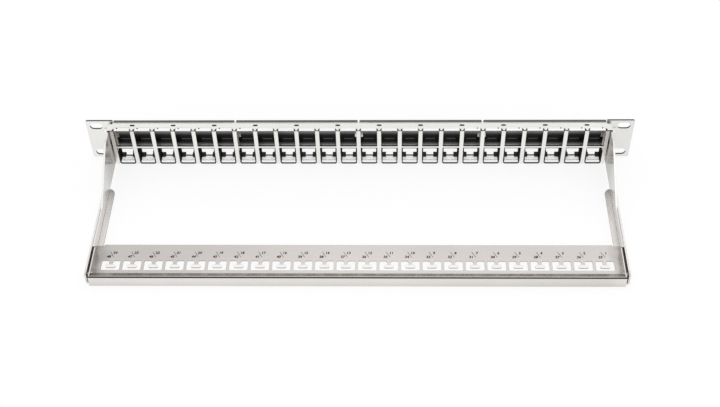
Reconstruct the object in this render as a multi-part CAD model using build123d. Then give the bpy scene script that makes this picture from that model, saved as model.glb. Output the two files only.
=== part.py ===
from build123d import *
import os

# 24-port patch panel, one rack unit, with a sliding cable support at the rear.
# Millimetres, +Z up, front face towards -Y, origin at the centre of the four
# rack slots on the rear face of the mounting ears.

os.makedirs("parts", exist_ok=True)

# ---------------------------------------------------------------- dimensions
# front sheet
T = 1.5                 # sheet thickness of plate, comb, arms and outer frame
EAR_X = 241.3           # half width over the ears (482.6 overall)
EAR_IN = 217.3          # inner edge of an ear above the top flange
EAR_Z = 22.0            # half height of the ears (44.0 overall)
SLOT_X = 232.55         # rack slot centres, 465.1 apart
SLOT_Z = 15.875         # rack slot centres, 31.75 apart
SLOT_L = 11.2           # slot overall length
SLOT_W = 7.0            # slot width
TOP_Z = 20.0            # top face of the folded top flange
TOP_Y = 9.5             # rear edge of the top flange
TOP_X = 221.1           # half length of the top flange
RELIEF_Y = 1.8          # depth of the bend relief behind each ear
BOT_Y = 5.6             # rear edge of the bottom flange
BOT_X = 216.2           # half length of the bottom flange
PITCH = 18.12           # port pitch
N_PORT = 24
LIP_W = 13.6            # width of a bent lip over a port
LIP_Y = 4.9             # where the lips start to bend
SLIT_Y = 7.5            # where the slit beside a lip starts
SLIT_W = 0.4
TAB_W = 2.0             # flat tab left between two lips
NOTCH_Y = 8.3           # wider notch at the mouth of each slit
PIN_W = 4.2             # small slots in the top flange
PIN_Y0, PIN_Y1 = 2.5, 4.5
HOLE_X, HOLE_Y = 4.2, 7.0   # small hole in each of the outer lips
# windows in the front sheet for the bezels
BZ_PITCH = 6 * PITCH
BZ_N = 4
BRIDGE = 3.0            # metal left between two bezel windows
LUG = 3.6               # reach of the locating lugs either side of a joint
LUG_Z0, LUG_Z1 = 1.9, 8.4
WIN_Z0, WIN_Z1 = -20.5, 18.0

# divider comb
COMB_Y0, COMB_Y1 = 7.9, 9.4
COMB_TOP = TOP_Z - T
DIV_W = 3.45
STRIP_Z0, STRIP_Z1 = -1.9, -0.2
END_X0, END_X1 = 215.7, 218.8

# side arms
ARM_X0 = 219.6
ARM_X1 = ARM_X0 + T
ARM_Z0 = -20.1
ARM_ZF = 18.35          # top of the arm at the front, just under the top flange
ARM_YF = 24.0           # where the slope starts
ARM_ZR = -11.5          # top of the arm's straight rear part
ARM_YK = 74.0           # where the slope ends
ARM_Y1 = 116.0
FOOT_X = 226.0
FOOT_T = 1.2
FOOTS = ((7.5, 13.5), (-16.0, -10.0))

# bezels
BZ_W = 107.2
BZ_YF = -2.4            # front face
BZ_YR = 0.8             # rear face of the back wall
BZ_Z0, BZ_Z1 = -21.6, 21.1
BZ_LIP_Y = -0.6         # rear edge of the top lip
OPEN_W = 12.4
OPEN_Z1 = -11.3
OPEN_Z0 = -18.2
LATCH_W = 6.35
LATCH_Z0 = -20.1
LATCH_Y = -0.5          # the latch notch is open below in front of this
SHO_Y = 2.3             # rear face of the two shoulder blocks
FLARE_Y = -0.7
SLV_IN, SLV_OUT = 6.25, 7.05
SLV_Y1 = 9.3
SLV_Z0, SLV_Z1 = -20.4, -6.8
SLV_RIM_Y = 7.4
RIM_Y = 8.7
RIM_Z = -20.8

# label strip and clear cover
LAB_W, LAB_Z0, LAB_Z1 = 100.0, 4.5, 15.5
LAB_DEEP = 0.7          # pocket depth in the bezel
LAB_T = 0.3
COV_T = 0.8

# sliding cable support: outer frame
FR_X0 = 221.2
FR_X1 = FR_X0 + T
FR_Y0, FR_Y1 = 42.2, 147.6
FR_Z0, FR_Z1 = -22.0, -11.1
FR_IN = 214.9           # inner edge of the bottom flange
RW_Y1 = 150.8           # rear face
RW_Y0 = RW_Y1 - T
RW_X = 219.3
RF_Y0 = 137.0           # front edge of the rear bottom flange

# cable-tie tray
TR_T = 1.0
TR_TOP = -11.5          # top of the tray's flanges
TR_Z0 = FR_Z0 + T
TR_Z1 = TR_Z0 + TR_T
TR_X = 219.3
TR_Y0, TR_Y1 = 107.8, 148.9
TR_FL_Y0 = 116.0
HEM_Y0 = 143.5
HEM_DROP = 2.0          # the return slopes down towards the front
TIE_PITCH = 17.83
TIE_N = 24
TW_W = 15.4
TW_Y0, TW_Y1 = 124.9, 135.3
STEM_W, BAR_W = 2.9, 8.2
BAR_Y0, BAR_Y1 = 129.3, 132.0
BAR_DROP = 0.6          # the bar of each T is bent down towards the rear

# rivets
RV_Y, RV_Z, RV_R, RV_HEAD, RV_HT = 142.0, -16.0, 1.6, 3.0, 1.1


# ---------------------------------------------------------------- helpers
def blk(x0, x1, y0, y1, z0, z1):
    return Pos((x0 + x1) / 2, (y0 + y1) / 2, (z0 + z1) / 2) * Box(
        abs(x1 - x0), abs(y1 - y0), abs(z1 - z0)
    )


def along_x(face, x0, x1):
    """Face drawn in (Y, Z), extruded from x0 to x1."""
    pl = Plane(origin=(x0, 0, 0), x_dir=(0, 1, 0), z_dir=(1, 0, 0))
    return extrude(pl * face, amount=x1 - x0)


def along_y(face, y0, y1):
    """Face drawn in (X, Z), extruded from y0 to y1."""
    pl = Plane(origin=(0, y0, 0), x_dir=(1, 0, 0), z_dir=(0, -1, 0))
    return extrude(pl * face, amount=-(y1 - y0))


def up_z(face, z0, z1):
    return extrude(Pos(0, 0, z0) * face, amount=z1 - z0)


def rect(x0, x1, y0, y1):
    return Pos((x0 + x1) / 2, (y0 + y1) / 2) * Rectangle(abs(x1 - x0), abs(y1 - y0))


def poly(*pts):
    return make_face(Polyline(*pts, close=True))


def save(shape, name):
    if isinstance(shape, (list, ShapeList)):
        shape = Compound(children=list(shape))
    shape.label = name
    export_step(shape, f"parts/{name}.step")


def one(shape):
    """The single solid of a boolean result."""
    s = shape.solids()
    return s[0] if len(s) == 1 else shape


PORTS = [(k - (N_PORT - 1) / 2) * PITCH for k in range(N_PORT)]
TIES = [(k - (TIE_N - 1) / 2) * TIE_PITCH for k in range(TIE_N)]
BEZELS = [(k - (BZ_N - 1) / 2) * BZ_PITCH for k in range(BZ_N)]


# ---------------------------------------------------------------- front plate
def front_plate():
    # folded channel: plate, top flange, bottom flange
    prof = poly(
        (-T, EAR_Z * -1 + 1.4), (-T + 0.4, -EAR_Z + 0.4), (-T + 1.4, -EAR_Z),
        (BOT_Y - 0.9, -EAR_Z), (BOT_Y, -EAR_Z + 0.0),
        (BOT_Y, -EAR_Z + T - 0.7), (BOT_Y - 0.2, -EAR_Z + T - 0.2), (BOT_Y - 0.7, -EAR_Z + T),
        (0, -EAR_Z + T),
        (0, TOP_Z - T), (TOP_Y, TOP_Z - T),
        (TOP_Y, TOP_Z - 0.5), (TOP_Y - 0.15, TOP_Z - 0.15), (TOP_Y - 0.5, TOP_Z),
        (0.3, TOP_Z), (-T + 0.55, TOP_Z - 0.3), (-T + 0.15, TOP_Z - 0.8), (-T, TOP_Z - 1.5),
    )
    body = along_x(prof, -TOP_X, TOP_X)
    # plate is only as wide as the ears allow; bottom flange is shorter
    for s in (-1, 1):
        body -= blk(s * BOT_X, s * (TOP_X + 1), 0, BOT_Y + 1, -EAR_Z - 1, -EAR_Z + T + 0.4)
        body -= blk(s * EAR_IN, s * (TOP_X + 1), -T - 1, RELIEF_Y, TOP_Z - T - 0.3, TOP_Z + 1)
    # slits beside each lip, with a wider notch at the rear edge
    cuts = []
    for x in PORTS:
        cuts.append(up_z(rect(x - LIP_W / 2, x + LIP_W / 2, LIP_Y, TOP_Y + 1), TOP_Z - T - 1, TOP_Z + 1))
        for s in (-1, 1):
            x1 = x + s * (LIP_W / 2 + SLIT_W)
            cuts.append(up_z(rect(x + s * (LIP_W / 2 - 0.1), x1, SLIT_Y, TOP_Y + 1), TOP_Z - T - 1, TOP_Z + 1))
            x2 = x + s * (PITCH - TAB_W) / 2
            cuts.append(up_z(rect(x + s * (LIP_W / 2 - 0.1), x2, NOTCH_Y, TOP_Y + 1), TOP_Z - T - 1, TOP_Z + 1))
    for k in (1, 3, 5, 7, 9, 11):
        for s in (-1, 1):
            sl = Pos(s * k * PITCH, (PIN_Y0 + PIN_Y1) / 2) * SlotOverall(PIN_W, PIN_Y1 - PIN_Y0)
            cuts.append(up_z(sl, TOP_Z - T - 1, TOP_Z + 1))
    body -= cuts
    # bent lips
    p0, p1 = (LIP_Y - 0.01, TOP_Z), (LIP_Y - 0.01, TOP_Z - T)
    outer = ThreePointArc(p0, (7.15, 19.75), (9.05, 18.85))
    edge = ThreePointArc((9.05, 18.85), (9.02, 18.18), (8.45, 17.98))
    inner = ThreePointArc((8.45, 17.98), (6.8, 18.4), p1)
    lip = make_face([outer, edge, inner, Line(p1, p0)])
    body += [along_x(lip, x - LIP_W / 2, x + LIP_W / 2) for x in PORTS]
    # small hole near the outer end of the lips away from the middle
    holes = []
    for x in PORTS:
        if abs(x) > 4.6 * PITCH:
            sg = 1 if x > 0 else -1
            holes.append(Pos(x + sg * HOLE_X, HOLE_Y, TOP_Z) * Cylinder(0.6, 6))
    body -= holes
    # ears
    for s in (-1, 1):
        ear = rect(s * (EAR_IN), s * EAR_X, -EAR_Z, EAR_Z)
        ear = fillet(ear.vertices().filter_by(lambda v: abs(abs(v.X) - EAR_X) < 1e-6), 1.6)
        for z in (-SLOT_Z, SLOT_Z):
            ear -= Pos(s * SLOT_X, z) * SlotOverall(SLOT_L, SLOT_W)
        body += along_y(ear, -T, 0)
    # bezel windows with locating lugs
    wins = []
    for xc in BEZELS:
        h = (BZ_PITCH - BRIDGE) / 2
        w = rect(xc - h, xc + h, WIN_Z0, WIN_Z1)
        for s in (-1, 1):
            w -= rect(xc + s * (BZ_PITCH / 2 - LUG), xc + s * (BZ_PITCH / 2), LUG_Z0, LUG_Z1)
        wins.append(along_y(w, -T - 1, 0.5))
    body -= wins
    return one(body)


# ---------------------------------------------------------------- port comb
def port_comb():
    sk = rect(-END_X1, END_X1, STRIP_Z0, STRIP_Z1)
    for k in range(1, N_PORT):
        x = (k - N_PORT / 2) * PITCH
        sk += rect(x - DIV_W / 2, x + DIV_W / 2, -EAR_Z, COMB_TOP)
    for s in (-1, 1):
        sk += rect(s * END_X0, s * END_X1, -EAR_Z, COMB_TOP)
    sk = fillet(sk.vertices().filter_by(lambda v: abs(v.Y + EAR_Z) < 1e-6), 1.3)
    return one(along_y(sk, COMB_Y0, COMB_Y1))


# ---------------------------------------------------------------- side arms
def side_arm(s):
    prof = poly(
        (0, ARM_Z0), (ARM_Y1, ARM_Z0), (ARM_Y1, ARM_ZR), (ARM_YK, ARM_ZR), (ARM_YF, ARM_ZF), (0, ARM_ZF)
    )
    prof = fillet(prof.vertices().filter_by(lambda v: abs(v.X - ARM_Y1) < 1e-6), 1.5)
    prof = fillet(prof.vertices().filter_by(lambda v: abs(v.X - ARM_YK) < 1e-6), 8.0)
    prof = fillet(prof.vertices().filter_by(lambda v: abs(v.X - ARM_YF) < 1e-6), 20.0)
    a, b = sorted((s * ARM_X0, s * ARM_X1))
    arm = along_x(prof, a, b)
    for z0, z1 in FOOTS:
        arm += blk(s * (ARM_X0 + 0.2), s * FOOT_X, 0, FOOT_T, z0, z1)
    return one(arm)


# ---------------------------------------------------------------- bezels
def bezel(xc):
    h = BZ_W / 2
    hi = (BZ_PITCH - BRIDGE) / 2 - 0.12
    face = rect(-h, h, BZ_Z0, BZ_Z1)
    face = chamfer(face.vertices().filter_by(lambda v: v.Y > 0), 1.1)
    body = along_y(face, BZ_YF, -T)
    # lip hooked over the top bend of the sheet
    lip = rect(-h, h, TOP_Z, BZ_Z1)
    lip = chamfer(lip.vertices().filter_by(lambda v: v.Y > TOP_Z + 0.1), 0.8)
    body += along_y(lip, BZ_YF, BZ_LIP_Y)
    # plug that fills the window, notched for the lugs
    body += blk(-hi, hi, -T, BZ_YR, WIN_Z0, WIN_Z1 - 0.1)
    for s in (-1, 1):
        body -= blk(s * (BZ_PITCH / 2 - LUG - 0.12), s * (h + 1), -T, BZ_YR + 1, LUG_Z0 - 0.12, LUG_Z1 + 0.12)
    # short ridge above each opening on the rear face
    body += [blk((k - 2.5) * PITCH - 4.2, (k - 2.5) * PITCH + 4.2, BZ_YR, BZ_YR + 0.45, 1.2, 2.0) for k in range(6)]
    body = fillet(body.edges().filter_by(Axis.X).filter_by(
        lambda e: abs(e.center().Z - BZ_Z1) < 1e-4 and abs(e.center().Y - BZ_YF) < 1e-4), 0.6)
    # sleeves behind each opening
    adds, cuts = [], []
    for k in range(6):
        x = (k - 2.5) * PITCH
        for s in (-1, 1):
            adds.append(blk(x + s * SLV_IN, x + s * SLV_OUT, BZ_YR - 0.1, SLV_RIM_Y + 0.1, SLV_Z0, SLV_Z1))
            adds.append(blk(x + s * (LATCH_W / 2), x + s * (SLV_IN + 0.1), BZ_YR - 0.1, SHO_Y, SLV_Z0, OPEN_Z0))
        u = rect(x - SLV_OUT, x + SLV_OUT, -EAR_Z, SLV_Z1)
        u = fillet(u.vertices().filter_by(lambda v: v.Y < -EAR_Z + 1), 1.6)
        inner = rect(x - SLV_IN, x + SLV_IN, RIM_Z, SLV_Z1 + 1)
        inner = fillet(inner.vertices().filter_by(lambda v: v.Y < RIM_Z + 1), 0.9)
        adds.append(along_y(u - inner, RIM_Y, SLV_Y1))
        legs = rect(x - SLV_OUT, x + SLV_OUT, -EAR_Z + 1.6, SLV_Z1) - rect(x - SLV_IN, x + SLV_IN, -EAR_Z, SLV_Z1 + 1)
        adds.append(along_y(legs, SLV_RIM_Y, RIM_Y + 0.1))
        hole = rect(x - OPEN_W / 2, x + OPEN_W / 2, OPEN_Z0, OPEN_Z1) + rect(
            x - LATCH_W / 2, x + LATCH_W / 2, LATCH_Z0, OPEN_Z0 + 0.1)
        cuts.append(along_y(hole, BZ_YF - 1, BZ_YR + 1))
        # latch relief, open below in the front part
        cuts.append(blk(x - LATCH_W / 2, x + LATCH_W / 2, BZ_YF - 1, -T, BZ_Z0 - 1, OPEN_Z0 + 0.1))
        cuts.append(blk(x - LATCH_W / 2, x + LATCH_W / 2, -T - 0.1, LATCH_Y, WIN_Z0 - 0.1, OPEN_Z0 + 0.1))
        # flare towards the front
        pl = Plane(origin=(x, FLARE_Y, (OPEN_Z0 + OPEN_Z1) / 2), x_dir=(1, 0, 0), z_dir=(0, -1, 0))
        cuts.append(extrude(pl * Rectangle(OPEN_W, OPEN_Z1 - OPEN_Z0), amount=2.0, taper=-14))
    body += adds
    body -= cuts
    # pocket for label strip and cover
    body -= blk(-LAB_W / 2, LAB_W / 2, BZ_YF - 1, BZ_YF + LAB_DEEP, LAB_Z0, LAB_Z1)
    return one(Pos(xc, 0, 0) * one(body))


def label_strip(xc):
    c = 0.25
    return Pos(xc, 0, 0) * blk(-LAB_W / 2 + c, LAB_W / 2 - c, BZ_YF + LAB_DEEP - LAB_T, BZ_YF + LAB_DEEP,
                               LAB_Z0 + c, LAB_Z1 - c)


def label_cover(xc):
    c = 0.15
    y1 = BZ_YF + LAB_DEEP - LAB_T
    b = blk(-LAB_W / 2 + c, LAB_W / 2 - c, y1 - COV_T, y1, LAB_Z0 + c, LAB_Z1 - c)
    b = chamfer(b.faces().sort_by(Axis.Y)[0].edges(), 0.25)
    return one(Pos(xc, 0, 0) * b)


# ---------------------------------------------------------------- outer frame
def support_frame():
    # bottom flange, one U in plan with rounded front ends
    plan = rect(-FR_X1, FR_X1, FR_Y0, RW_Y1) - rect(-FR_IN, FR_IN, FR_Y0 - 1, RF_Y0)
    plan = fillet(plan.vertices().filter_by(
        lambda v: abs(abs(v.X) - FR_IN) < 1e-6 and abs(v.Y - FR_Y0) < 1e-6), 5.5)
    # bend relief at the rear corners
    for s in (-1, 1):
        plan -= rect(s * RW_X, s * (FR_X1 + 1), FR_Y1, RW_Y1 + 1)
        plan -= Pos(s * (RW_X + 0.2), FR_Y1) * Circle(1.0)
    body = up_z(plan, FR_Z0, FR_Z0 + T)
    for s in (-1, 1):
        side = poly((FR_Y0, FR_Z0), (FR_Y1, FR_Z0), (FR_Y1, FR_Z1), (FR_Y0 + 2.5, FR_Z1), (FR_Y0, FR_Z1 - 2.5))
        a, b = sorted((s * FR_X0, s * FR_X1))
        wall = along_x(side, a, b)
        body += wall
    body += blk(-RW_X, RW_X, RW_Y0, RW_Y1, FR_Z0, FR_Z1)
    body = one(body)
    # outer bend radii along the bottom
    try:
        e = body.edges().filter_by(Axis.Y).filter_by(
            lambda q: abs(q.center().Z - FR_Z0) < 1e-4 and abs(abs(q.center().X) - FR_X1) < 1e-4)
        e += body.edges().filter_by(Axis.X).filter_by(
            lambda q: abs(q.center().Z - FR_Z0) < 1e-4 and abs(q.center().Y - RW_Y1) < 1e-4)
        body = fillet(e, 1.2)
    except Exception:
        pass
    for s in (-1, 1):
        body -= Pos(s * (FR_X0 + T / 2), RV_Y, RV_Z) * Rot(0, 90, 0) * Cylinder(RV_R, T + 2)
    return one(body)


# ---------------------------------------------------------------- tie tray
def tie_tray():
    plan = rect(-TR_X, TR_X, TR_Y0, TR_Y1)
    for s in (-1, 1):
        plan -= rect(s * 213.2, s * (TR_X + 1), TR_Y0 - 1, TR_Y0 + 1.2)
    for x in TIES:
        w = rect(x - TW_W / 2, x + TW_W / 2, TW_Y0, TW_Y1)
        w = fillet(w.vertices(), 1.0)
        tee = rect(x - STEM_W / 2, x + STEM_W / 2, TW_Y0 - 0.5, BAR_Y0 + 0.05)
        tee += poly((x - STEM_W / 2 - 1.6, TW_Y0), (x - STEM_W / 2 - 0.5, TW_Y0 + 0.5), (x - STEM_W / 2, TW_Y0 + 1.6),
                    (x + STEM_W / 2, TW_Y0 + 1.6), (x + STEM_W / 2 + 0.5, TW_Y0 + 0.5), (x + STEM_W / 2 + 1.6, TW_Y0),
                    (x + STEM_W / 2 + 1.6, TW_Y0 - 0.5), (x - STEM_W / 2 - 1.6, TW_Y0 - 0.5))
        plan -= w - tee
    body = up_z(plan, TR_Z0, TR_Z1)
    slope = poly((BAR_Y0, TR_Z1), (BAR_Y1, TR_Z1 - BAR_DROP), (BAR_Y1, TR_Z0 - BAR_DROP), (BAR_Y0, TR_Z0))
    for x in TIES:
        bar = up_z(Pos(x, (BAR_Y0 + BAR_Y1) / 2) * RectangleRounded(BAR_W, BAR_Y1 - BAR_Y0, 1.2), TR_Z0 - 2, TR_Z1 + 1)
        body += one(bar & along_x(slope, x - BAR_W, x + BAR_W))
    for s in (-1, 1):
        prof = poly((TR_FL_Y0, TR_Z0), (TR_Y1, TR_Z0), (TR_Y1, TR_TOP), (TR_FL_Y0 + 1.5, TR_TOP), (TR_FL_Y0, TR_TOP - 1.5))
        a, b = sorted((s * (TR_X - TR_T), s * TR_X))
        wall = along_x(prof, a, b)
        body += wall
    # rear flange with a sloping inward return
    zt = TR_TOP
    prof = poly((TR_Y1 - TR_T, TR_Z0), (TR_Y1, TR_Z0), (TR_Y1, zt - 0.5), (TR_Y1 - 0.15, zt - 0.15),
                (TR_Y1 - 0.5, zt), (TR_Y1 - 0.9, zt), (HEM_Y0, zt - HEM_DROP), (HEM_Y0, zt - HEM_DROP - TR_T),
                (TR_Y1 - TR_T, zt - TR_T - 0.1))
    body += along_x(prof, -TR_X + TR_T + 0.4, TR_X - TR_T - 0.4)
    body += blk(-TR_X, TR_X, TR_Y1 - TR_T, TR_Y1, TR_Z0, TR_Z0 + 3.0)
    for s in (-1, 1):
        body -= Pos(s * (TR_X - TR_T / 2), RV_Y, RV_Z) * Rot(0, 90, 0) * Cylinder(RV_R, TR_T + 1.5)
    return one(body)


# ---------------------------------------------------------------- rivets
def tray_rivet(s):
    # shank across both walls, dome head outside, small collar inside
    x_out = FR_X1
    x_in = TR_X - TR_T
    rod = Cylinder(RV_R, x_out - x_in + 0.2)
    rod = Pos(0, 0, (x_out + x_in) / 2) * rod
    r_dome = (RV_HEAD ** 2 + RV_HT ** 2) / (2 * RV_HT)
    dome = Pos(0, 0, x_out + RV_HT - r_dome) * Sphere(r_dome)
    dome &= Pos(0, 0, x_out + 5) * Box(20, 20, 10)
    collar = Pos(0, 0, x_in - 0.35) * Cylinder(RV_R + 0.8, 0.7)
    solid = rod + dome + collar
    # turned axis laid along X
    return Pos(0, RV_Y, RV_Z) * Rot(0, 90 * s, 0) * one(solid)


save(front_plate(), "front_plate")
save(port_comb(), "port_comb")
save(side_arm(-1), "side_arm_left")
save(side_arm(1), "side_arm_right")
for i, xc in enumerate(BEZELS):
    save(bezel(xc), f"port_bezel_{i + 1}")
    save(label_strip(xc), f"label_strip_{i + 1}")
    save(label_cover(xc), f"label_cover_{i + 1}")
save(support_frame(), "support_frame")
save(tie_tray(), "tie_tray")
save([tray_rivet(-1), tray_rivet(1)], "tray_rivets")
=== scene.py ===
import math

import bpy
import bmesh
from mathutils import Matrix, Vector


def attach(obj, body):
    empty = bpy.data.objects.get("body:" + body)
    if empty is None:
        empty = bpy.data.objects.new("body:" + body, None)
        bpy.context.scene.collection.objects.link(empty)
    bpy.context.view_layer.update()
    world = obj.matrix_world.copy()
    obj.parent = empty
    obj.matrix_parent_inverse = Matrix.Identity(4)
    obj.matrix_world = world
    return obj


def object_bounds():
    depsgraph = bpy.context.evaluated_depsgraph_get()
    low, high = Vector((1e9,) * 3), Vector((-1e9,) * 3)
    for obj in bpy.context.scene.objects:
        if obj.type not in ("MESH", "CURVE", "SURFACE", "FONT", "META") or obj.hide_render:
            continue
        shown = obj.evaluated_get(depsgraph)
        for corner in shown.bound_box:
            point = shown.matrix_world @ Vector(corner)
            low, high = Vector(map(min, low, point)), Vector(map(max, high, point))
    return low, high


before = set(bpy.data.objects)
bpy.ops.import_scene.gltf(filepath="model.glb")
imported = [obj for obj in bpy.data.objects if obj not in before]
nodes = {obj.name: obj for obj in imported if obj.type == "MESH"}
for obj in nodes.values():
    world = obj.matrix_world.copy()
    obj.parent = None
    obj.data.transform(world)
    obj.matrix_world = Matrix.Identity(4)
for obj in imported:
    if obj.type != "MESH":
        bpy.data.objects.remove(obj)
CAD_BOX = [[float(c) for c in v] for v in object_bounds()]
scene = bpy.context.scene
MM = 0.001

# ------------------------------------------------------------------ camera
F_PX, CAM = 1187.14, Vector((-28.308, 757.932, 738.823)) * MM
ELEV, YAW, ROLL = math.radians(47.3678), math.radians(2.1896), math.radians(-1.5931)
fw = Vector((0, -math.cos(ELEV), -math.sin(ELEV)))
rt = Vector((-1, 0, 0))
up = Vector((0, -math.sin(ELEV), math.cos(ELEV)))
rz = Matrix.Rotation(YAW, 3, "Z")
fw, rt, up = rz @ fw, rz @ rt, rz @ up
c, s = math.cos(ROLL), math.sin(ROLL)
rt2, up2 = c * rt + s * up, -s * rt + c * up
cam_data = bpy.data.cameras.new("camera")
cam_data.sensor_width = 36.0
cam_data.lens = F_PX / 720 * 36
cam_data.clip_start, cam_data.clip_end = 0.01, 20
cam = bpy.data.objects.new("camera", cam_data)
m = Matrix((rt2, up2, -fw)).transposed().to_4x4()
m.translation = CAM
cam.matrix_world = m
scene.collection.objects.link(cam)
scene.camera = cam

scene.view_settings.view_transform = "Standard"
scene.view_settings.look = "None"


# ------------------------------------------------------------------ materials
def new_mat(name):
    mat = bpy.data.materials.new(name)
    mat.use_nodes = True
    nt = mat.node_tree
    bsdf = nt.nodes.get("Principled BSDF")
    return mat, nt, bsdf


def node(nt, kind, **values):
    n = nt.nodes.new(kind)
    for k, v in values.items():
        if k in n.inputs:
            n.inputs[k].default_value = v
        else:
            setattr(n, k, v)
    return n


def sheet_metal(name, base, rough, warm=(0.62, 0.55, 0.50), grain=(1, 60, 60), wave=0.00012, bevel=0.00035,
                grain_amt=0.00002, mottle=0.06, spec=0.5):
    """Plated sheet: fine rolling grain, slow waviness, cloudy tone and roughness."""
    mat, nt, b = new_mat(name)
    tc = node(nt, "ShaderNodeTexCoord")
    # cloudy tone
    mp = node(nt, "ShaderNodeMapping")
    mp.inputs["Scale"].default_value = (6, 9, 9)
    nt.links.new(tc.outputs["Object"], mp.inputs["Vector"])
    cloud = node(nt, "ShaderNodeTexNoise", Scale=1.6, Detail=4.0, Roughness=0.55)
    nt.links.new(mp.outputs["Vector"], cloud.inputs["Vector"])
    ramp = node(nt, "ShaderNodeMapRange")
    ramp.inputs["From Min"].default_value = 0.3
    ramp.inputs["From Max"].default_value = 0.7
    ramp.inputs["To Min"].default_value = 1 - mottle
    ramp.inputs["To Max"].default_value = 1 + mottle * 0.35
    nt.links.new(cloud.outputs["Fac"], ramp.inputs["Value"])
    mul = node(nt, "ShaderNodeVectorMath", operation="SCALE")
    mul.inputs[0].default_value = base
    nt.links.new(ramp.outputs["Result"], mul.inputs["Scale"])
    nt.links.new(mul.outputs["Vector"], b.inputs["Base Color"])
    # rolling grain
    mg = node(nt, "ShaderNodeMapping")
    mg.inputs["Scale"].default_value = grain
    nt.links.new(tc.outputs["Object"], mg.inputs["Vector"])
    g = node(nt, "ShaderNodeTexNoise", Scale=40.0, Detail=3.0, Roughness=0.6)
    nt.links.new(mg.outputs["Vector"], g.inputs["Vector"])
    rr = node(nt, "ShaderNodeMapRange")
    rr.inputs["From Min"].default_value = 0.25
    rr.inputs["From Max"].default_value = 0.75
    rr.inputs["To Min"].default_value = rough - 0.05
    rr.inputs["To Max"].default_value = rough + 0.08
    nt.links.new(g.outputs["Fac"], rr.inputs["Value"])
    nt.links.new(rr.outputs["Result"], b.inputs["Roughness"])
    # slow waviness of thin sheet
    w = node(nt, "ShaderNodeTexNoise", Scale=14.0, Detail=1.0, Roughness=0.4)
    nt.links.new(tc.outputs["Object"], w.inputs["Vector"])
    bw = node(nt, "ShaderNodeBump", Strength=0.5, Distance=wave)
    nt.links.new(w.outputs["Fac"], bw.inputs["Height"])
    bv = node(nt, "ShaderNodeBevel", samples=4)
    bv.inputs["Radius"].default_value = bevel
    nt.links.new(bv.outputs["Normal"], bw.inputs["Normal"])
    bg = node(nt, "ShaderNodeBump", Strength=0.35, Distance=grain_amt)
    nt.links.new(g.outputs["Fac"], bg.inputs["Height"])
    nt.links.new(bw.outputs["Normal"], bg.inputs["Normal"])
    nt.links.new(bg.outputs["Normal"], b.inputs["Normal"])
    b.inputs["Metallic"].default_value = 1.0
    return mat


def cut_edge(name, base, rough=0.5):
    """Sheared edge: darker bare steel with short vertical shear marks; with a dark base it also serves as painted
    shade.
    """
    mat, nt, b = new_mat(name)
    tc = node(nt, "ShaderNodeTexCoord")
    n = node(nt, "ShaderNodeTexNoise", Scale=900.0, Detail=2.0, Roughness=0.6)
    nt.links.new(tc.outputs["Object"], n.inputs["Vector"])
    mr = node(nt, "ShaderNodeMapRange")
    mr.inputs["To Min"].default_value = 0.75
    mr.inputs["To Max"].default_value = 1.2
    nt.links.new(n.outputs["Fac"], mr.inputs["Value"])
    mul = node(nt, "ShaderNodeVectorMath", operation="SCALE")
    mul.inputs[0].default_value = base
    nt.links.new(mr.outputs["Result"], mul.inputs["Scale"])
    nt.links.new(mul.outputs["Vector"], b.inputs["Base Color"])
    bp = node(nt, "ShaderNodeBump", Strength=0.4, Distance=0.00004)
    nt.links.new(n.outputs["Fac"], bp.inputs["Height"])
    nt.links.new(bp.outputs["Normal"], b.inputs["Normal"])
    b.inputs["Metallic"].default_value = 0.85
    b.inputs["Roughness"].default_value = rough
    return mat


def plastic(name, base, rough, coat=0.0, grain=0.00002, scale=1500.0, spec=0.5):
    mat, nt, b = new_mat(name)
    tc = node(nt, "ShaderNodeTexCoord")
    n = node(nt, "ShaderNodeTexNoise", Scale=scale, Detail=2.0, Roughness=0.5)
    nt.links.new(tc.outputs["Object"], n.inputs["Vector"])
    bv = node(nt, "ShaderNodeBevel", samples=4)
    bv.inputs["Radius"].default_value = 0.00025
    bp = node(nt, "ShaderNodeBump", Strength=0.3, Distance=grain)
    nt.links.new(n.outputs["Fac"], bp.inputs["Height"])
    nt.links.new(bv.outputs["Normal"], bp.inputs["Normal"])
    nt.links.new(bp.outputs["Normal"], b.inputs["Normal"])
    slow = node(nt, "ShaderNodeTexNoise", Scale=25.0, Detail=3.0, Roughness=0.55)
    nt.links.new(tc.outputs["Object"], slow.inputs["Vector"])
    mr = node(nt, "ShaderNodeMapRange")
    mr.inputs["To Min"].default_value = rough - 0.04
    mr.inputs["To Max"].default_value = rough + 0.06
    nt.links.new(slow.outputs["Fac"], mr.inputs["Value"])
    nt.links.new(mr.outputs["Result"], b.inputs["Roughness"])
    b.inputs["Base Color"].default_value = (*base, 1)
    b.inputs["Specular IOR Level"].default_value = spec
    b.inputs["Coat Weight"].default_value = coat
    b.inputs["Coat Roughness"].default_value = 0.12
    return mat


M_SHEET = sheet_metal("plated_sheet", (0.94, 0.93, 0.908), 0.22)
M_COMB = sheet_metal("plated_comb", (0.88, 0.87, 0.843), 0.24)
M_ARM = sheet_metal("plated_arm", (0.80, 0.785, 0.77), 0.24)
M_SUPPORT = sheet_metal("plated_support", (0.78, 0.75, 0.725), 0.24)
M_TRAY = sheet_metal("plated_tray", (0.76, 0.72, 0.69), 0.20)
# cut edges: bare steel darkened nearly black, partly painted shade for the dark outlines along edges
M_EDGE = cut_edge("cut_edge", (0.045, 0.042, 0.040), 0.45)
M_EDGE_LIGHT = cut_edge("cut_edge_light", (0.45, 0.44, 0.43), 0.4)
M_RIVET = sheet_metal("rivet_metal", (0.78, 0.77, 0.76), 0.3, bevel=0.0002)
M_BLACK = plastic("bezel_black", (0.004, 0.004, 0.0045), 0.28, spec=0.22)
# sleeve side walls: a darker copy of the black plastic with almost no sheen, painted shade
M_BLACK_SIDE_SHADE = plastic("bezel_black_side_painted_shade", (0.003, 0.003, 0.0035), 0.7, spec=0.02)
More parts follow.
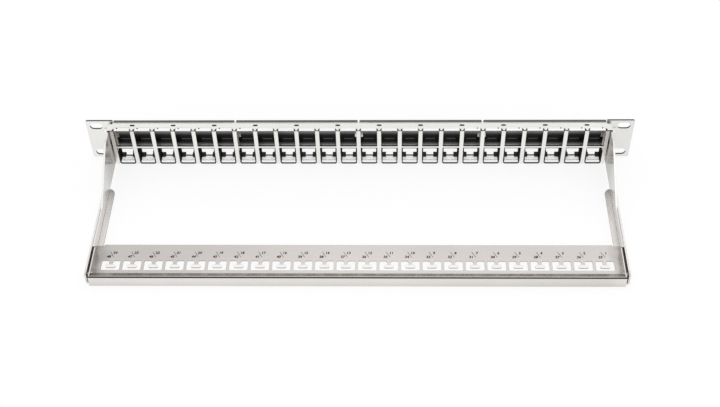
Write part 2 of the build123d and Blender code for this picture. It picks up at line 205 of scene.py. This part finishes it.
# top lip of the bezels: black plastic painted grey, painted light on its top faces
M_BEZEL_TOP_LIGHT = plastic("bezel_top_painted_light", (0.13, 0.129, 0.128), 0.45)
# rib on the bezels' rear wall: lighter black plastic, a painted highlight streak
M_RIDGE_HIGHLIGHT = plastic("bezel_ridge_painted_highlight", (0.06, 0.06, 0.06), 0.35)
M_GAP = cut_edge("shaded_inner_wall", (0.78, 0.75, 0.725), 0.5)
# tie bars: the tray's metal painted brighter, a painted highlight on the bent bars
M_TIE_HIGHLIGHT = sheet_metal("tie_bar_painted_highlight", (0.95, 0.945, 0.93), 0.3, mottle=0.02)
# bottom flange tops: the plated sheet made non-metallic and glowing, painted light that keeps them near white
M_FLANGE_LIT = sheet_metal("bottom_flange_painted_light", (0.93, 0.925, 0.91), 0.55, mottle=0.03)
M_FLANGE_LIT.node_tree.nodes["Principled BSDF"].inputs["Metallic"].default_value = 0.0
# outer face of the top bend: the plated sheet made non-metallic so it reads light, painted light
M_BEND_LIT = sheet_metal("top_bend_painted_light", (0.90, 0.895, 0.88), 0.5, mottle=0.03)
M_BEND_LIT.node_tree.nodes["Principled BSDF"].inputs["Metallic"].default_value = 0.0
M_FLANGE_LIT.node_tree.nodes["Principled BSDF"].inputs["Emission Color"].default_value = (1, 1, 0.99, 1)
M_FLANGE_LIT.node_tree.nodes["Principled BSDF"].inputs["Emission Strength"].default_value = 0.38


def fade(mat, axis, lo, hi, stops, tint=None):
    """Tone that changes slowly along one axis of the part; stops are (mm, value) or (mm, rgb)."""
    nt_ = mat.node_tree
    b_ = nt_.nodes["Principled BSDF"]
    tc_ = node(nt_, "ShaderNodeTexCoord")
    sp = node(nt_, "ShaderNodeSeparateXYZ")
    nt_.links.new(tc_.outputs["Object"], sp.inputs["Vector"])
    nz = node(nt_, "ShaderNodeTexNoise", Scale=55.0, Detail=2.0, Roughness=0.5)
    nt_.links.new(tc_.outputs["Object"], nz.inputs["Vector"])
    jit = node(nt_, "ShaderNodeMath", operation="MULTIPLY_ADD")
    jit.inputs[1].default_value = 0.06 * (hi - lo) * MM
    nt_.links.new(nz.outputs["Fac"], jit.inputs[0])
    nt_.links.new(sp.outputs["XYZ".index(axis)], jit.inputs[2])
    mr_ = node(nt_, "ShaderNodeMapRange")
    mr_.inputs["From Min"].default_value = (lo + 0.03 * (hi - lo)) * MM
    mr_.inputs["From Max"].default_value = (hi + 0.03 * (hi - lo)) * MM
    nt_.links.new(jit.outputs[0], mr_.inputs["Value"])
    cr = nt_.nodes.new("ShaderNodeValToRGB")
    els = cr.color_ramp.elements
    els[0].position = (stops[0][0] - lo) / (hi - lo)
    els[1].position = (stops[-1][0] - lo) / (hi - lo)
    mids = [els.new((st[0] - lo) / (hi - lo)) for st in stops[1:-1]]
    for e_, st in zip(sorted(els, key=lambda q: q.position), stops):
        v_ = st[1]
        e_.color = (*v_, 1) if isinstance(v_, tuple) else (v_, v_, v_, 1)
    nt_.links.new(mr_.outputs["Result"], cr.inputs["Fac"])
    old = [l for l in nt_.links if l.to_socket == b_.inputs["Base Color"]]
    if old:
        mx = node(nt_, "ShaderNodeVectorMath", operation="MULTIPLY")
        nt_.links.new(old[0].from_socket, mx.inputs[0])
        nt_.links.new(cr.outputs["Color"], mx.inputs[1])
        nt_.links.new(mx.outputs["Vector"], b_.inputs["Base Color"])
    else:
        nt_.links.new(cr.outputs["Color"], b_.inputs["Base Color"])


# rear wall of the bezels: painted reflection, lighter at the top and bottom, dark in the middle
M_BLACK_REAR_SHEEN = plastic("bezel_black_rear_painted_sheen", (0.004, 0.004, 0.0045), 0.3, spec=0.08)
fade(M_BLACK_REAR_SHEEN, "Z", -8.0, 12.0, [(-7.2, 0.42), (-5.7, 0.2), (-4.3, 0.08), (-3.0, 0.008), (0.5, 0.002), (5.2, 0.012),
                                    (6.6, 0.05), (7.8, 0.12), (9.1, 0.22), (10.3, 0.36)])
# painted light and shade: the tray is lifted across the tie points, darker behind them towards its rear flange and
# towards both ends, more at one end
fade(M_TRAY, "Y", 105.0, 150.0, [(108, 1.1), (121, 1.12), (125, 1.16), (136, 1.16), (140.5, 1.14), (143, 0.86), (149, 0.80)])
fade(M_TRAY, "X", -220.0, 220.0, [(-219, 0.66), (-214, 0.82), (-208, 0.97), (60, 0.98), (150, 0.90), (207, 0.85), (212, 0.76), (219, 0.56)])
# arms: painted shade and reflection, warmer and darker near the front
fade(M_ARM, "Y", 0.0, 80.0, [(0, (0.28, 0.2, 0.15)), (8.5, (0.35, 0.26, 0.2)), (10, (0.56, 0.525, 0.49)), (20, (0.56, 0.53, 0.505)), (32, (0.61, 0.61, 0.615)), (48, (0.84, 0.85, 0.86)), (78, (1, 1, 1))])
# support frame: painted light lifts it ahead of Y 140; painted shade darkens it towards one end and towards the bottom
fade(M_SUPPORT, "Y", 40.0, 152.0, [(42, 1.32), (140, 1.30), (147, 1.0), (151, 1.0)])
fade(M_SUPPORT, "X", -225.0, 225.0, [(-225, 1.0), (-212, 1.0), (-206, 0.93), (-120, 0.95), (-40, 1.0), (225, 1.0)])
fade(M_SUPPORT, "Z", -22.0, -11.0, [(-22, 0.86), (-18, 0.94), (-14, 1.0), (-11, 1.0)])
fade(M_GAP, "Y", 100.0, 152.0, [(101, (1.0, 1.0, 1.0)), (115, (1.0, 1.0, 1.0)), (118, (0.59, 0.413, 0.317)), (151, (0.59, 0.413, 0.317))])
# front sheet: painted shade, darker at its front faces (Y below about 0.4 mm) and past X -216 at one end
fade(M_SHEET, "Y", -3.0, 10.0, [(-3, 0.915), (0.4, 0.915), (1.6, 1.0), (10, 1.0)])
fade(M_SHEET, "X", -242.0, 242.0, [(-242, 0.9), (-219, 0.92), (-216, 1.0), (242, 1.0)])
M_CARD = plastic("label_card", (0.86, 0.86, 0.84), 0.6, scale=3000.0)
M_INK = plastic("ink", (0.012, 0.011, 0.011), 0.6, spec=0.2)

# clear cover
M_CLEAR, nt, b = new_mat("clear_cover")
b.inputs["Base Color"].default_value = (0.96, 0.98, 0.99, 1)
b.inputs["Roughness"].default_value = 0.05
b.inputs["IOR"].default_value = 1.49
b.inputs["Alpha"].default_value = 0.14
tc = node(nt, "ShaderNodeTexCoord")
n = node(nt, "ShaderNodeTexNoise", Scale=60.0, Detail=2.0)
nt.links.new(tc.outputs["Object"], n.inputs["Vector"])
bp = node(nt, "ShaderNodeBump", Strength=0.15, Distance=0.00003)
nt.links.new(n.outputs["Fac"], bp.inputs["Height"])
nt.links.new(bp.outputs["Normal"], b.inputs["Normal"])


def dress(name, mats, pick=None):
    """Materials on a CAD node; pick(centre_mm, normal) gives the index of a face's material."""
    me = nodes[name].data
    me.materials.clear()
    for mt in mats:
        me.materials.append(mt)
    for p in me.polygons:
        p.material_index = pick(p.center / MM, p.normal) if pick else 0


def pick_bezel(cn, n):
    if cn.z > 19.9 and cn.y > -2.35 and n.y > -0.5:
        return 1
    if 1.15 < cn.z < 2.05 and 0.81 < cn.y < 1.3:
        return 3
    if n.y > 0.5 and 0.7 < cn.y < 0.9:
        return 2
    if abs(n.x) > 0.6 and cn.z < -6.7 and cn.y > -1.4:
        return 4
    return 0


def pick_front(cn, n):
    if abs(cn.x) > 217.29 and cn.y < 0.01:
        return 1 if abs(n.y) < 0.6 else 0
    if n.z > 0.5 and cn.z < -19.9:
        return 2
    if cn.z > 19.5 and cn.y < 0.9 and n.y < -0.12 and n.z > 0.1:
        return 3
    # end faces of tabs, slots and lips: cut edges darkened nearly black as painted shade
    if cn.z > 18.4 and cn.y > 2 and abs(n.z) < 0.35 and cn.y < 9.6:
        if abs(n.x) > 0.7 or n.y > 0.7:
            return 1
    return 0


dress("front_plate", [M_SHEET, M_EDGE, M_FLANGE_LIT, M_BEND_LIT], pick_front)
dress("port_comb", [M_COMB, M_EDGE], lambda c_, n_: 1 if abs(n_.y) < 0.5 else 0)
for a in ("side_arm_left", "side_arm_right"):
    dress(a, [M_ARM, M_SHEET], lambda c_, n_: 0 if abs(n_.x) > 0.9 and n_.x * c_.x < 0 else 1)
for i in range(1, 5):
    dress(f"port_bezel_{i}", [M_BLACK, M_BEZEL_TOP_LIGHT, M_BLACK_REAR_SHEEN, M_RIDGE_HIGHLIGHT, M_BLACK_SIDE_SHADE], pick_bezel)
    dress(f"label_strip_{i}", [M_CARD])
    dress(f"label_cover_{i}", [M_CLEAR])


def pick_frame(cn, n):
    if n.z > 0.5 and cn.z > -11.8 and cn.y > 149:
        return 2
    if abs(n.z) < 0.3 and cn.z < -20.4 and abs(cn.x) < 215.5 and cn.y < 148:
        return 1
    if abs(abs(cn.x) - 221.2) < 0.05 and n.x * cn.x < 0 and abs(n.x) > 0.9:
        return 3
    return 0


dress("support_frame", [M_SUPPORT, M_EDGE_LIGHT, M_EDGE, M_GAP], pick_frame)


def pick_tray(cn, n):
    if abs(n.z) < 0.3 and cn.z < -19.4 and abs(cn.x) < 218.2 and cn.y < 147.1:
        return 1
    if n.z > 0.5 and cn.z > -11.8 and abs(cn.x) > 218.0:
        return 3
    if n.z > 0.5 and n.y > 0.1 and cn.z < -19.4 and 129 < cn.y < 133:
        return 2
    return 0


dress("tie_tray", [M_TRAY, M_EDGE_LIGHT, M_TIE_HIGHLIGHT, M_SHEET], pick_tray)
dress("tray_rivets", [M_RIVET])


# ------------------------------------------------------------------ printed numbers
def text_mesh(txt, size, loc, rot, shear=0.0, squeeze=1.0, bold=0.0):
    cu = bpy.data.curves.new("t", "FONT")
    cu.body = txt
    cu.size = size
    cu.align_x = "CENTER"
    cu.align_y = "CENTER"
    cu.shear = shear
    cu.resolution_u = 3
    cu.extrude = 0.00001
    cu.offset = bold
    ob = bpy.data.objects.new("t", cu)
    scene.collection.objects.link(ob)
    bpy.context.view_layer.update()
    dg = bpy.context.evaluated_depsgraph_get()
    me = bpy.data.meshes.new_from_object(ob.evaluated_get(dg))
    bpy.data.objects.remove(ob)
    me.transform(Matrix.Diagonal((squeeze, 1, 1, 1)))
    me.transform(Matrix.Translation(loc) @ rot.to_4x4())
    return me


def joined(name, meshes, mat, body):
    bm = bmesh.new()
    for me in meshes:
        bm.from_mesh(me)
        bpy.data.meshes.remove(me)
    out = bpy.data.meshes.new(name)
    bm.to_mesh(out)
    bm.free()
    out.materials.append(mat)
    ob = bpy.data.objects.new(name, out)
    scene.collection.objects.link(ob)
    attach(ob, body)
    return ob


TRAY_TOP = -19.5 * MM
TIE_PITCH = 17.83
flat_rear = Matrix.Rotation(math.pi, 3, "Z")
parts = []
for k in range(24):
    x = (k - 11.5) * TIE_PITCH
    num = k + 1
    z = TRAY_TOP + 0.00002
    parts.append(text_mesh(str(num + 24), 3.5 * MM, Vector(((x + 2.85) * MM, 120.9 * MM, z)), flat_rear, 0.1, 1.0, 0.00013))
    parts.append(text_mesh(str(num), 3.5 * MM, Vector(((x - 2.0) * MM, 116.7 * MM, z)), flat_rear, 0.1, 1.0, 0.00013))
    # slash
    bm = bmesh.new()
    a, bb = Vector((x + 2.2, 115.4, 0)), Vector((x - 1.1, 121.2, 0))
    d = (bb - a).normalized()
    w = Vector((-d.y, d.x, 0)) * 0.19
    vs = [bm.verts.new(((p + q) * MM) + Vector((0, 0, z))) for p, q in ((a, -w), (bb, -w), (bb, w), (a, w))]
    bm.faces.new(vs)
    bmesh.ops.recalc_face_normals(bm, faces=bm.faces)
    me = bpy.data.meshes.new("s")
    bm.to_mesh(me)
    bm.free()
    parts.append(me)
joined("tray_numbers", parts, M_INK, "cable_support")

front_up = Matrix.Rotation(math.radians(90), 3, "X")
PITCH = 18.12
for bz in range(4):
    parts = []
    for k in range(6):
        x = ((bz * 6 + k) - 11.5) * PITCH
        parts.append(text_mesh(str(bz * 6 + k + 1), 5.2 * MM, Vector((x * MM, -2.03 * MM, 10.0 * MM)), front_up))
    joined(f"strip_numbers_{bz + 1}", parts, M_INK, "panel")
    # printed face of the card, just clear of the cover's back
    card = nodes[f"label_strip_{bz + 1}"]
    pts = [card.matrix_world @ v.co for v in card.data.vertices]
    yf = min(q.y for q in pts) - 0.000015
    x0, x1 = min(q.x for q in pts) + 0.00005, max(q.x for q in pts) - 0.00005
    z0, z1 = min(q.z for q in pts) + 0.00005, max(q.z for q in pts) - 0.00005
    me = bpy.data.meshes.new("f")
    me.from_pydata([(x0, yf, z0), (x1, yf, z0), (x1, yf, z1), (x0, yf, z1)], [], [(0, 1, 2, 3)])
    joined(f"strip_face_{bz + 1}", [me], M_CARD, "panel")


# ------------------------------------------------------------------ floor and light
bm = bmesh.new()
bmesh.ops.create_grid(bm, x_segments=1, y_segments=1, size=6.0)
me = bpy.data.meshes.new("floor")
bm.to_mesh(me)
bm.free()
floor = bpy.data.objects.new("floor", me)
floor.location = (0, 0, CAD_BOX[0][2] - 0.0001)
scene.collection.objects.link(floor)
fm, nt, b = new_mat("floor_white")
b.inputs["Base Color"].default_value = (0.22, 0.22, 0.22, 1)
b.inputs["Roughness"].default_value = 0.9
b.inputs["Specular IOR Level"].default_value = 0.1
b.inputs["Emission Color"].default_value = (1, 1, 1, 1)
b.inputs["Emission Strength"].default_value = 0.80
me.materials.append(fm)

world = bpy.data.worlds.new("studio")
scene.world = world
world.use_nodes = True
wn = world.node_tree
bg = wn.nodes["Background"]
gen = node(wn, "ShaderNodeTexCoord")
sep = node(wn, "ShaderNodeSeparateXYZ")
wn.links.new(gen.outputs["Generated"], sep.inputs["Vector"])


def ramp_node(src, stops, interp="B_SPLINE"):
    r = wn.nodes.new("ShaderNodeValToRGB")
    r.color_ramp.interpolation = interp
    els = r.color_ramp.elements
    while len(els) > 1:
        els.remove(els[-1])
    els[0].position, els[0].color = (stops[0][0] + 1) / 2, (stops[0][1],) * 3 + (1,)
    for pos, val in stops[1:]:
        e = els.new((pos + 1) / 2)
        e.color = (val,) * 3 + (1,)
    half = node(wn, "ShaderNodeMath", operation="MULTIPLY_ADD")
    half.inputs[1].default_value = 0.5
    half.inputs[2].default_value = 0.5
    wn.links.new(src, half.inputs[0])
    wn.links.new(half.outputs[0], r.inputs["Fac"])
    return r.outputs["Color"]


def wmath(op, x, y):
    n_ = node(wn, "ShaderNodeMath", operation=op)
    for i_, v_ in enumerate((x, y)):
        if isinstance(v_, (int, float)):
            n_.inputs[i_].default_value = v_
        else:
            wn.links.new(v_, n_.inputs[i_])
    return n_.outputs[0]


# softbox overhead: dimmer towards its upper edge, more so to one side
depth = ramp_node(sep.outputs["X"], [(-1, 0.25), (-0.35, 0.26), (-0.16, 0.20), (0.03, 0.14), (0.14, 0.26), (0.28, 0.42), (1, 0.40)])
high = ramp_node(sep.outputs["Z"], [(0.71, 0), (0.755, 1), (0.80, 1), (0.90, 0)], "EASE")
top = wmath("SUBTRACT", 1.0, wmath("MULTIPLY", depth, high))
# dark studio wall low behind the front of the panel
low = ramp_node(sep.outputs["Z"], [(-1, 0), (-0.25, 0), (-0.05, 1), (0.22, 1), (0.42, 0), (1, 0)])
front = ramp_node(sep.outputs["Y"], [(-1, 1), (-0.55, 1), (-0.25, 0), (1, 0)])
wall = wmath("SUBTRACT", 1.0, wmath("MULTIPLY", wmath("MULTIPLY", low, front), 0.8))
total = wmath("MULTIPLY", wmath("MULTIPLY", top, wall), 0.98)
bg.inputs["Color"].default_value = (1, 1, 1, 1)
wn.links.new(total, bg.inputs["Strength"])


def area(name, loc, target, size, power, size_y=None):
    ld = bpy.data.lights.new(name, "AREA")
    ld.energy = power
    ld.size = size
    if size_y:
        ld.shape = "RECTANGLE"
        ld.size_y = size_y
    ob = bpy.data.objects.new(name, ld)
    ob.location = loc
    d = Vector(target) - Vector(loc)
    ob.rotation_euler = d.to_track_quat("-Z", "Y").to_euler()
    scene.collection.objects.link(ob)
    return ob


area("key", (-0.1, 0.9, 1.7), (0, 0.05, 0), 1.2, 1.6, 1.0)
